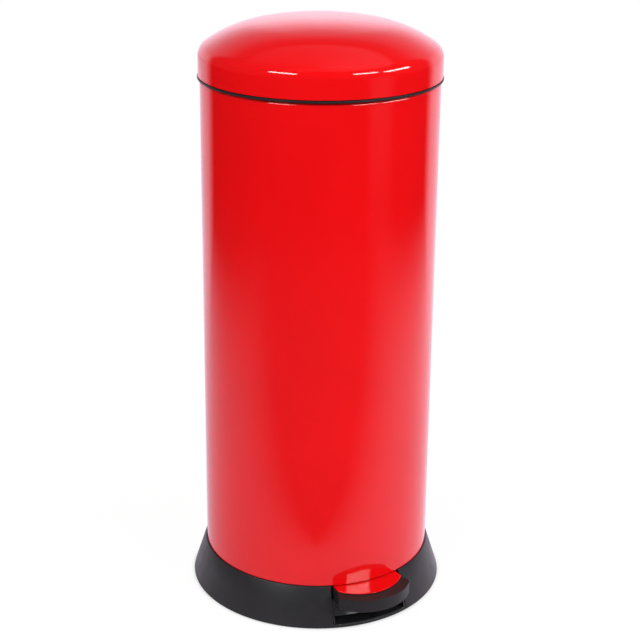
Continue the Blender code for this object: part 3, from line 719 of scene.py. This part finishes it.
def make_handle():
    """The handle on the back, a loop that is hollowed to fit the shell."""
    half, inner_half, corner, back, low, high = 47.0, 32.0, 16.0, 164.5, 496.0, 516.0
    outline = [(-half, 112), (half, 112)]
    outline += arc((half - corner, back - corner), corner, 0, 90, 16)
    outline += arc((corner - half, back - corner), corner, 90, 180, 16)
    gap_front, gap_back, small = 132.0, 151.5, 6.0
    hole = arc((inner_half - small, gap_front + small), small, 0, -90, 8)
    hole += arc((small - inner_half, gap_front + small), small, -90, -180, 8)
    hole += arc((small - inner_half, gap_back - small), small, 180, 90, 8)
    hole += arc((inner_half - small, gap_back - small), small, 90, 0, 8)
    handle = plate("handle", [outline, hole], low, high, "Z", 3.6, 5)
    carve(handle, cylinder("hug", BODY_R + 0.1, (0, 0, low - 10), (0, 0, high + 10)))
    handle.data.set_sharp_from_angle(angle=math.radians(40))
    dress(handle, "bin", BLACK, "black_plastic", "carry_handle")
    z = (low + high) / 2
    for side, angle in (("left", -18.0), ("right", 18.0)):
        seat, towards = spot(angle, SCREW_SEAT, z), spot(angle, 150, z)
        put_screw(f"grip_screw_{side}", "bin", seat, towards, 11.5, f"handle_screw_{side}")


# ---------------------------------------------------------------- pedal and linkage


def d_outline(half, neck, front, back, radius, shoulder, corner=0.0):
    """A pedal's plan: a round front on a straight neck that is a little narrower.

    The corner is the radius at the ends of the front.
    """
    centre = (0, -(front - radius))
    reach = math.degrees(math.asin((half - corner) / (radius - corner)))
    front_arc = arc(centre, radius, 270 - reach, 270 + reach, 48)
    if corner:
        right = arc(centre, radius - corner, 270 + reach, 270 + reach, 1)[0]
        left = (-right[0], right[1])
        front_arc = arc(left, corner, 125, 270 - reach, 14)[:-1] + front_arc
        front_arc += arc(right, corner, reach - 90, 55, 14)[1:]
    return [(neck, -back), (-neck, -back), (-neck, -shoulder), *front_arc, (neck, -shoulder)]


def make_pedal():
    """The tread, which is hollow underneath, and the red plate on it."""
    tread = d_outline(
        half=43.6, neck=40.2, front=165.3, back=108.5, radius=56.0, shoulder=128.0, corner=8.0
    )
    tread = plate("tread", [tread], TREAD_LOW, TREAD_HIGH, "Z", 0.0)
    hollow = d_outline(
        half=40.0, neck=36.6, front=161.6, back=105.0, radius=52.4, shoulder=127.0, corner=5.0
    )
    carve(tread, plate("hollow", [hollow], TREAD_LOW - 8.0, TREAD_HIGH - 3.8, "Z", 0.0))
    round_over(tread, 1.1, 4)
    dress(tread, "pedal", TREAD, "black_plastic", "pedal_tread")
    cover = d_outline(half=39.2, neck=38.8, front=151.4, back=116.0, radius=50.0, shoulder=126.0)
    cover = plate("cover", [cover], TREAD_HIGH + 0.3, TREAD_HIGH + 1.5, "Z", 0.45, 3)
    dress(cover, "pedal", ENAMEL, "red_enamel", "pedal_cover")


def make_lever():
    """The steel strip from the pedal to the rod, its two screws and the bush that it rocks on."""
    front_z, middle_z, rear_z, half = 36.9, 33.55, 17.5, 1.25
    spine = [(-152, front_z), (-105, front_z), (-30, middle_z), (0, middle_z), (100, rear_z), (111, rear_z)]
    strip = [(y, z + half) for y, z in spine] + [(y, z - half) for y, z in reversed(spine)]
    lever = plate("strip", [strip], -12, 12, "X", 0.4, 2)
    ear = [(92, 20.4), (92, 17.0), *arc((ROD_Y, ROD_LOW), 4.8, 240, 450, 28)]
    eye = plate("eye", [ear, circle((ROD_Y, ROD_LOW), 2.8, 32)], 6, 9, "X", 0.3, 2)
    dress(merged("lever", lever, eye), "pedal", ZINC, "zinc_steel", "pedal_lever")
    seat_z = 35.35
    for side, y in (("front", -138), ("rear", -118)):
        seat, towards = (0, y, seat_z), (0, y, seat_z + 20)
        put_screw(f"tread_fixing_{side}", "pedal", seat, towards, 6.4, f"tread_screw_{side}")
    tube = [circle((PIVOT.y, PIVOT.z), 5.0), circle((PIVOT.y, PIVOT.z), 3.3)]
    bush = plate("lever_bush", tube, -20, 20, "X", 0.3, 2)
    dress(bush, "pedal", ZINC, "zinc_steel", "pivot_bush")


def make_lever_bracket():
    """The bracket under the deck with its two screws, and the pin of the lever."""
    put_pin("lever_pin", "bin", "pivot_pin", PIVOT, 3.0, 26.2, 4.6)
    seat_z = 42.9
    for side, x in (("left", -14), ("right", 14)):
        seat, towards = (x, PIVOT.y, seat_z), (x, PIVOT.y, seat_z + 20)
        put_screw(f"deck_screw_{side}", "bin", seat, towards, 5.2, f"bracket_screw_{side}")

    outer, inner, reach = 23.5, 21.0, 16
    bm = bmesh.new()
    add_box(bm, (-outer, PIVOT.y - reach, 43.2), (outer, PIVOT.y + reach, 45.7))
    parts = [as_object("bracket_web", bm, 0.4, 2)]
    cheek = [(PIVOT.y + reach, 44.0), (PIVOT.y - reach, 44.0)]
    cheek += arc((PIVOT.y, PIVOT.z), 7, 190, 350, 24)
    for low, high in ((-outer, -inner), (inner, outer)):
        parts.append(plate("cheek", [cheek, circle((PIVOT.y, PIVOT.z), 3.2)], low, high, "X", 0.35, 2))
    dress(merged("lever_bracket", *parts), "bin", ZINC, "zinc_steel", "pivot_bracket")


def make_rod():
    """The lift rod, with the hook at its lower end, and the clip that keeps it in the lever's ear."""
    bend = 4.0
    hook = [(12.0, ROD_LOW), *arc((bend, ROD_LOW + bend), bend, 270, 180, 12), (0, ROD_HIGH)]
    rod = wire("rod", [(x, ROD_Y, z) for x, z in hook], 2.0)
    dress(rod, "rod", ZINC, "zinc_steel", "lift_rod")
    rings = [circle((ROD_Y, ROD_LOW), 4.4), circle((ROD_Y, ROD_LOW), 2.2)]
    clip = plate("clip", rings, 9.5, 10.7, "X", 0.2, 2)
    dress(clip, "rod", ZINC, "zinc_steel", "rod_clip")


def soften_nodes():
    """The black pieces whose shape is right already get rounded edges and a material."""
    widths = {"deck_plate": 0.5, "rod_head": 0.25, "rod_guide_lower": 0.4, "rod_guide_upper": 0.4}
    for name, width in widths.items():
        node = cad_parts[name]
        node.data.materials.clear()
        node.data.materials.append(BLACK)
        modifier = node.modifiers.new("Rounded edges", "BEVEL")
        modifier.width = width * MM
        modifier.segments = 2
        modifier.limit_method = "ANGLE"
        modifier.angle_limit = math.radians(45)


# ---------------------------------------------------------------- studio

# Lengths here are in metres.
CAMERA_TURN, CAMERA_RISE = 26.7, 20.47  # how far round from the front it stands, and how far up
TURN = math.radians(CAMERA_TURN)
AWAY = Vector((math.sin(TURN), math.cos(TURN), 0))
RIGHT = Vector((math.cos(TURN), -math.sin(TURN), 0))
UP = Vector((0, 0, 1))
REFLECTED_TINT = (1.12, 1.0, 1.16)
BOX_RADIANCE, DIFFUSE_FILL = 26.0, 0.235
# The backdrop's edge in reflections, by the cosine of the direction's turn from straight behind the bin.
BACKDROP_EDGE = (0.43, 0.67)
# Reflected levels, as (height of the direction, level): of the backdrop, and of the glow in its middle.
BACKDROP_STOPS = [(-1, 1.0), (0, 1.1), (0.14, 1.15), (0.28, 0.95), (0.48, 0.48), (0.62, 0.25)]
BACKDROP_STOPS += [(0.75, 0.05), (1, 0.0)]
GLOW_STOPS = [(-1, 0), (0, 0), (0.1, 0.2), (0.2, 0.45), (0.31, 0.75), (0.39, 0.6), (0.46, 0.38)]
GLOW_STOPS += [(0.54, 0.04), (0.6, 0), (1, 0)]
# The same glow from its middle to its side, as (turn from straight behind in radians, share).
GLOW_SIDE_STOPS = [(0, 1.0), (0.09, 0.7), (0.17, 0.2), (0.26, 0.03), (0.34, 0.0), (3.15, 0.0)]


class Nodes:
    """Short calls for building a node tree of numbers."""

    def __init__(self, tree):
        self.tree = tree

    def link(self, value, socket):
        if isinstance(value, (int, float)):
            socket.default_value = value
        else:
            self.tree.links.new(value, socket)

    def math(self, operation, first, second=0.0):
        node = self.tree.nodes.new("ShaderNodeMath")
        node.operation = operation
        self.link(first, node.inputs[0])
        self.link(second, node.inputs[1])
        return node.outputs[0]

    def along(self, vector, direction):
        node = self.tree.nodes.new("ShaderNodeVectorMath")
        node.operation = "DOT_PRODUCT"
        self.tree.links.new(vector, node.inputs[0])
        node.inputs[1].default_value = direction
        return node.outputs["Value"]

    def smooth(self, value, start, end, low=0.0, high=1.0):
        """A soft step from low at start to high at end."""
        node = self.tree.nodes.new("ShaderNodeMapRange")
        node.interpolation_type = "SMOOTHSTEP"
        node.inputs["From Min"].default_value = start
        node.inputs["From Max"].default_value = end
        node.inputs["To Min"].default_value = low
        node.inputs["To Max"].default_value = high
        self.tree.links.new(value, node.inputs["Value"])
        return node.outputs["Result"]

    def blend(self, share, first, second):
        """A colour between two, by a share from 0 to 1. The Mix node has its colours in these sockets."""
        colour_a, colour_b, colour_out = 6, 7, 2
        node = self.tree.nodes.new("ShaderNodeMix")
        node.data_type = "RGBA"
        self.tree.links.new(share, node.inputs["Factor"])
        node.inputs[colour_a].default_value = (*first, 1)
        node.inputs[colour_b].default_value = (*second, 1)
        return node.outputs[colour_out]

    def curve(self, value, points):
        """A value from a list of (position, level) stops."""
        node = self.tree.nodes.new("ShaderNodeFloatCurve")
        low, high = points[0][0], points[-1][0]
        top = max(level for _, level in points)
        scaled = self.tree.nodes.new("ShaderNodeMapRange")
        scaled.inputs["From Min"].default_value = low
        scaled.inputs["From Max"].default_value = high
        self.link(value, scaled.inputs["Value"])
        line = node.mapping.curves[0]
        spots = [((at - low) / (high - low), level / top) for at, level in points]
        line.points[0].location = spots[0]
        line.points[1].location = spots[-1]
        for spot_at in spots[1:-1]:
            line.points.new(*spot_at)
        for point in line.points:
            point.handle_type = "AUTO_CLAMPED"
        node.mapping.update()
        self.tree.links.new(scaled.outputs["Result"], node.inputs["Value"])
        return self.math("MULTIPLY", node.outputs["Value"], top)


def make_world():
    """A white backdrop behind the bin, brightest in the middle, and a dim room in front, for reflections.

    The camera sees plain white, and diffuse light is an even fill.
    """
    world = bpy.data.worlds.new("studio")
    bpy.context.scene.world = world
    world.use_nodes = True
    nodes = Nodes(world.node_tree)
    background = world.node_tree.nodes["Background"]
    direction = world.node_tree.nodes.new("ShaderNodeTexCoord").outputs["Generated"]
    height = nodes.along(direction, UP)
    level = nodes.math("SQRT", nodes.math("SUBTRACT", 1.0, nodes.math("MULTIPLY", height, height)))
    level = nodes.math("MAXIMUM", level, 0.02)
    facing = nodes.math("DIVIDE", nodes.along(direction, AWAY), level)
    across = nodes.math("DIVIDE", nodes.along(direction, RIGHT), level)
    lifted = nodes.math("MULTIPLY", nodes.math("MAXIMUM", nodes.math("SUBTRACT", height, 0.1), 0.0), 0.3)
    edge = nodes.math("ADD", facing, nodes.math("MULTIPLY", across, 0.03))
    backdrop = nodes.smooth(nodes.math("SUBTRACT", edge, lifted), *BACKDROP_EDGE)
    backdrop = nodes.math("MULTIPLY", backdrop, nodes.curve(height, BACKDROP_STOPS))
    turned_off = nodes.math("ARCCOSINE", nodes.math("MINIMUM", facing, 1.0))
    middle = nodes.curve(turned_off, GLOW_SIDE_STOPS)
    glow = nodes.curve(height, GLOW_STOPS)
    # The dim room in front gets a little brighter to the sides, and has a pale ceiling.
    room = nodes.math("ADD", nodes.math("MULTIPLY", nodes.math("ABSOLUTE", across), 0.05), 0.03)
    ceiling = nodes.math("ADD", nodes.math("MULTIPLY", across, 0.16), 0.18)
    ceiling = nodes.math("MULTIPLY", ceiling, nodes.smooth(height, 0.765, 0.82))
    reflected = nodes.math("ADD", backdrop, nodes.math("MULTIPLY", middle, glow))
    reflected = nodes.math("ADD", reflected, nodes.math("ADD", room, ceiling))
    path = world.node_tree.nodes.new("ShaderNodeLightPath").outputs
    level = nodes.math("MULTIPLY", path["Is Glossy Ray"], reflected)
    level = nodes.math("ADD", level, nodes.math("MULTIPLY", path["Is Diffuse Ray"], DIFFUSE_FILL))
    level = nodes.math("ADD", level, path["Is Camera Ray"])
    world.node_tree.links.new(level, background.inputs["Strength"])
    tint = nodes.blend(path["Is Glossy Ray"], (1, 1, 1), REFLECTED_TINT)
    world.node_tree.links.new(tint, background.inputs["Color"])


def make_floor():
    """A plain pale floor, which the camera sees almost evenly lit, with a faint shadow round the foot.

    What it gives to reflections ends in front of the bin and fades out at its sides.
    """
    bm = bmesh.new()
    bmesh.ops.create_grid(bm, x_segments=2, y_segments=2, size=14)
    mesh = bpy.data.meshes.new("floor")
    bm.to_mesh(mesh)
    bm.free()
    floor = bpy.data.objects.new("floor", mesh)
    bpy.context.scene.collection.objects.link(floor)
    material = bpy.data.materials.new("pale_floor")
    material.use_nodes = True
    tree = material.node_tree
    nodes = Nodes(tree)
    shader = tree.nodes["Principled BSDF"]
    shader.inputs["Base Color"].default_value = (0.93, 0.93, 0.93, 1)
    shader.inputs["Roughness"].default_value = 0.9
    shader.inputs["Specular IOR Level"].default_value = 0.1
    place = tree.nodes.new("ShaderNodeTexCoord").outputs["Object"]
    away = nodes.along(place, AWAY)
    side = nodes.along(place, RIGHT)
    squares = nodes.math("ADD", nodes.math("MULTIPLY", away, away), nodes.math("MULTIPLY", side, side))
    far = nodes.math("MAXIMUM", nodes.math("SQRT", squares), 0.02)
    facing = nodes.math("DIVIDE", away, far)
    across = nodes.math("DIVIDE", side, far)

    # The lit part ends at a line in front of the bin, which is farther out and softer towards the sides.
    wide = nodes.math("ABSOLUTE", side)
    edge = nodes.math("ADD", nodes.math("MULTIPLY", wide, 0.2), 0.298)
    softness = nodes.math("ADD", nodes.math("MULTIPLY", wide, 0.5), 0.02)
    towards = nodes.math("MULTIPLY", away, -1.0)
    beyond = nodes.math("DIVIDE", nodes.math("SUBTRACT", towards, edge), softness)
    lit = nodes.math("MULTIPLY", nodes.smooth(beyond, -1.0, 1.0, 1.0, 0.0), nodes.smooth(side, -1.38, -0.45))
    lit = nodes.math("MULTIPLY", lit, nodes.smooth(side, 0.6, 1.6, 1.0, 0.0))
    # Behind the bin the floor stays lit all the way out.
    turned = nodes.math("ADD", facing, nodes.math("MULTIPLY", across, 0.02))
    lit = nodes.math("MAXIMUM", lit, nodes.smooth(turned, *BACKDROP_EDGE))
    level = nodes.smooth(across, 0.0, 1.05, 0.61, 0.86)
    level = nodes.math("ADD", level, nodes.math("MULTIPLY", facing, 0.13))
    level = nodes.math("ADD", level, nodes.smooth(far, 0.4, 1.4, 0.0, 0.2))
    level = nodes.math("ADD", nodes.math("MULTIPLY", level, lit), nodes.smooth(far, 0.8, 1.8, 0.14, 0.02))
    # A faint streak on the right of the body comes from a band of brighter floor.
    band = nodes.smooth(across, 0.66, 0.78)
    band = nodes.math("MULTIPLY", band, nodes.smooth(across, 0.88, 0.97, 1.0, 0.0))
    band = nodes.math("MULTIPLY", band, nodes.smooth(facing, -0.2, 0.0, 1.0, 0.0))
    level = nodes.math("ADD", level, nodes.math("MULTIPLY", band, nodes.smooth(far, 0.8, 3.0, 0.0, 0.2)))
    # Under the bin the floor gives no light of its own, so that it doesn't show through the notch.
    outside = nodes.smooth(far, 0.136, 0.148)
    glow = tree.nodes.new("ShaderNodeEmission")
    glow.inputs["Color"].default_value = (*REFLECTED_TINT, 1)
    tree.links.new(nodes.math("MULTIPLY", level, outside), glow.inputs["Strength"])
    path = tree.nodes.new("ShaderNodeLightPath").outputs
    lift = tree.nodes.new("ShaderNodeEmission")
    lift.inputs["Strength"].default_value = 1.02
    pale = tree.nodes.new("ShaderNodeMixShader")
    plain = nodes.math("MULTIPLY", outside, nodes.smooth(far, 0.2, 1.2, 0.94, 1.0))
    share = nodes.math("MULTIPLY", path["Is Camera Ray"], plain)
    tree.links.new(share, pale.inputs["Fac"])
    tree.links.new(shader.outputs["BSDF"], pale.inputs[1])
    tree.links.new(lift.outputs["Emission"], pale.inputs[2])
    mix = tree.nodes.new("ShaderNodeMixShader")
    tree.links.new(path["Is Glossy Ray"], mix.inputs["Fac"])
    tree.links.new(pale.outputs["Shader"], mix.inputs[1])
    tree.links.new(glow.outputs["Emission"], mix.inputs[2])
    tree.links.new(mix.outputs["Shader"], tree.nodes["Material Output"].inputs["Surface"])
    mesh.materials.append(material)


def softbox(name, azimuth, elevation, distance, wide, tall):
    """A soft box with soft edges, aimed at the lid.

    Its azimuth is from the camera's side of the bin, positive to the right.
    """
    turn, rise = math.radians(azimuth), math.radians(elevation)
    target = Vector((0, 0, 0.6))
    level = RIGHT * math.sin(turn) - AWAY * math.cos(turn)
    place = target + (level * math.cos(rise) + UP * math.sin(rise)) * distance
    light = bpy.data.lights.new(name, "AREA")
    light.shape = "RECTANGLE"
    light.size, light.size_y = wide, tall
    light.energy = BOX_RADIANCE * math.pi * wide * tall
    light.use_nodes = True
    nodes = Nodes(light.node_tree)
    over = light.node_tree.nodes.new("ShaderNodeNewGeometry").outputs["Parametric"]
    u = nodes.math("ABSOLUTE", nodes.math("SUBTRACT", nodes.along(over, (1, 0, 0)), 0.5))
    v = nodes.math("ABSOLUTE", nodes.math("SUBTRACT", nodes.along(over, (0, 1, 0)), 0.5))
    soft = nodes.math("MULTIPLY", nodes.smooth(u, 0.36, 0.5, 1.0, 0.0), nodes.smooth(v, 0.0, 0.5, 1.0, 0.0))
    light.node_tree.links.new(soft, light.node_tree.nodes["Emission"].inputs["Strength"])
    lamp = bpy.data.objects.new(name, light)
    bpy.context.scene.collection.objects.link(lamp)
    lamp.location = place
    lamp.rotation_euler = (place - target).to_track_quat("Z", "Y").to_euler()
    lamp.visible_camera = False


def fill_light(name, place, size, energy):
    """A soft light that is kept out of the reflections. It points at the middle of the bin."""
    light = bpy.data.lights.new(name, "AREA")
    light.size, light.energy = size, energy
    lamp = bpy.data.objects.new(name, light)
    bpy.context.scene.collection.objects.link(lamp)
    lamp.location = place
    lamp.rotation_euler = (place - UP * 0.4).to_track_quat("Z", "Y").to_euler()
    lamp.visible_camera = False
    lamp.visible_glossy = False


def make_studio():
    make_world()
    make_floor()
    softbox("box_left", azimuth=-38.0, elevation=31.0, distance=16.0, wide=7.85, tall=3.05)
    softbox("box_right", azimuth=45.0, elevation=29.8, distance=16.0, wide=7.13, tall=3.05)
    softbox("box_side", azimuth=77.5, elevation=25.5, distance=2.2, wide=1.25, tall=0.42)
    fill_light("above_front", UP * 1.5 - AWAY * 0.75 - RIGHT * 0.4, size=0.5, energy=4.8)
    fill_light("behind", UP * 0.6 + AWAY * 1.15, size=0.8, energy=4.4)
    make_camera()
    bpy.context.scene.view_settings.view_transform = "Standard"
    bpy.context.scene.view_settings.look = "None"


def make_camera():
    """The camera, with the slight roll and shift that the photo has."""
    rise, roll = math.radians(CAMERA_RISE), -0.0088
    distance, nudge = 1.7182, 0.0034
    target = Vector((0, 0, 0.3175))
    back = (-AWAY * math.cos(rise) + UP * math.sin(rise)).normalized()
    up = back.cross(RIGHT)
    right_axis = RIGHT * math.cos(roll) - up * math.sin(roll)
    up_axis = RIGHT * math.sin(roll) + up * math.cos(roll)
    camera = bpy.data.objects.new("camera", bpy.data.cameras.new("camera"))
    bpy.context.scene.collection.objects.link(camera)
    matrix = Matrix((right_axis, up_axis, back)).transposed().to_4x4()
    matrix.translation = target + back * distance - RIGHT * nudge
    camera.matrix_world = matrix
    camera.data.lens = 87.05
    camera.data.sensor_width = 36.0
    camera.data.shift_x = 0.0076
    camera.data.shift_y = -0.0122
    camera.data.clip_end = 50
    bpy.context.scene.camera = camera


make_shell()
make_collar()
make_base()
make_feet()
make_bucket()
make_bail()
make_lid()
make_lid_ring()
make_hinge()
make_hinge_bracket()
make_handle()
make_pedal()
make_lever()
make_lever_bracket()
make_rod()
soften_nodes()
make_studio()
